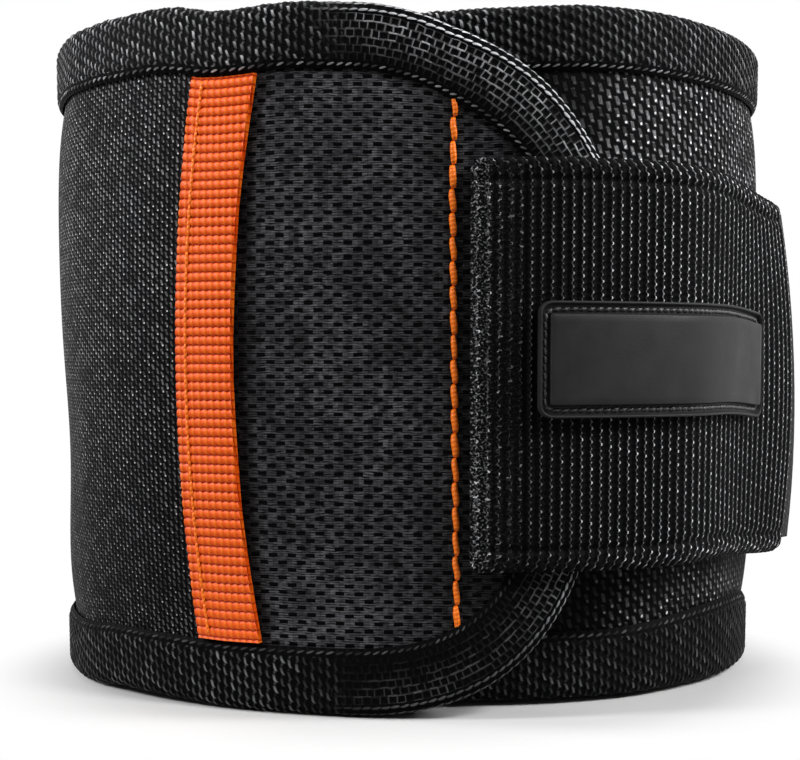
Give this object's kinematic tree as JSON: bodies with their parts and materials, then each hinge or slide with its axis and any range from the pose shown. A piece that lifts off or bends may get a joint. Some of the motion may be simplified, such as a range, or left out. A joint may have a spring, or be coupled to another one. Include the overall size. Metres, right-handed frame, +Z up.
{
  "type": "magnetic wristband",
  "caption": "Padded fabric wristband with magnets in its flap for holding screws, closed into a ring by a hook-and-loop strap.",
  "frame": {"origin": "centre of the bounding box in plan, on the surface that the band stands on", "axes": "+Z up along the ring's axis, the magnetic flap faces -Y, and the strap's free end points towards +X"},
  "size_m": [0.111, 0.1068, 0.0913],
  "materials": {
    "loop_fabric": "knitted loop fabric, matte black",
    "ballistic_fabric": "coarse ballistic nylon weave, matte black",
    "binding_fabric": "basket-woven binding tape, black",
    "lining_mesh": "air mesh, matte black",
    "padding_foam": "soft foam padding",
    "webbing": "zigzag-ribbed elastic webbing, black",
    "hook_tape": "hook side of hook-and-loop tape, black",
    "orange_webbing": "ribbed polyester webbing, orange",
    "patch_rubber": "satin moulded rubber, dark grey",
    "carrier_plastic": "flexible sheet plastic, grey",
    "magnet_nickel": "nickel-plated magnet disc"
  },
  "bodies": {
    "band": {"loop_panel": "loop_fabric", "back_panel": "loop_fabric", "front_right_pad": "padding_foam", "back_right_pad": "padding_foam", "back_left_pad": "padding_foam", "band_lining": "lining_mesh", "band_edge_binding": "binding_fabric"},
    "flap": {"side_panel": "loop_fabric", "front_panel": "ballistic_fabric", "flap_lining": "lining_mesh", "flap_tip_pad": "padding_foam", "flap_edge_binding": "binding_fabric", "orange_tape": "orange_webbing", "strap_sewn_end": "webbing", "magnet_strip_1": "carrier_plastic", "magnet_strip_2": "carrier_plastic", "magnet_strip_3": "carrier_plastic", "magnet_strip_4": "carrier_plastic", "magnet_strip_5": "carrier_plastic", "magnet_1_1": "magnet_nickel", "magnet_1_2": "magnet_nickel", "magnet_1_3": "magnet_nickel", "magnet_2_1": "magnet_nickel", "magnet_2_2": "magnet_nickel", "magnet_2_3": "magnet_nickel", "magnet_3_1": "magnet_nickel", "magnet_3_2": "magnet_nickel", "magnet_3_3": "magnet_nickel", "magnet_4_1": "magnet_nickel", "magnet_4_2": "magnet_nickel", "magnet_4_3": "magnet_nickel", "magnet_5_1": "magnet_nickel", "magnet_5_2": "magnet_nickel", "magnet_5_3": "magnet_nickel"},
    "strap": {"strap_tail": "webbing", "hook_strip": "hook_tape", "rubber_patch": "patch_rubber"}
  },
  "joints": [
    {"name": "flap_open", "type": "hinge", "parent": "band", "child": "flap", "pos_m": [-0.0555, -0.0024, 0.045], "axis": [0, 0, -1], "range_deg": [0, 75]},
    {"name": "strap_peel", "type": "hinge", "parent": "flap", "child": "strap", "pos_m": [0.0112, -0.05145, 0.045], "axis": [0, 0, -1], "range_deg": [0, 90]}
  ]
}
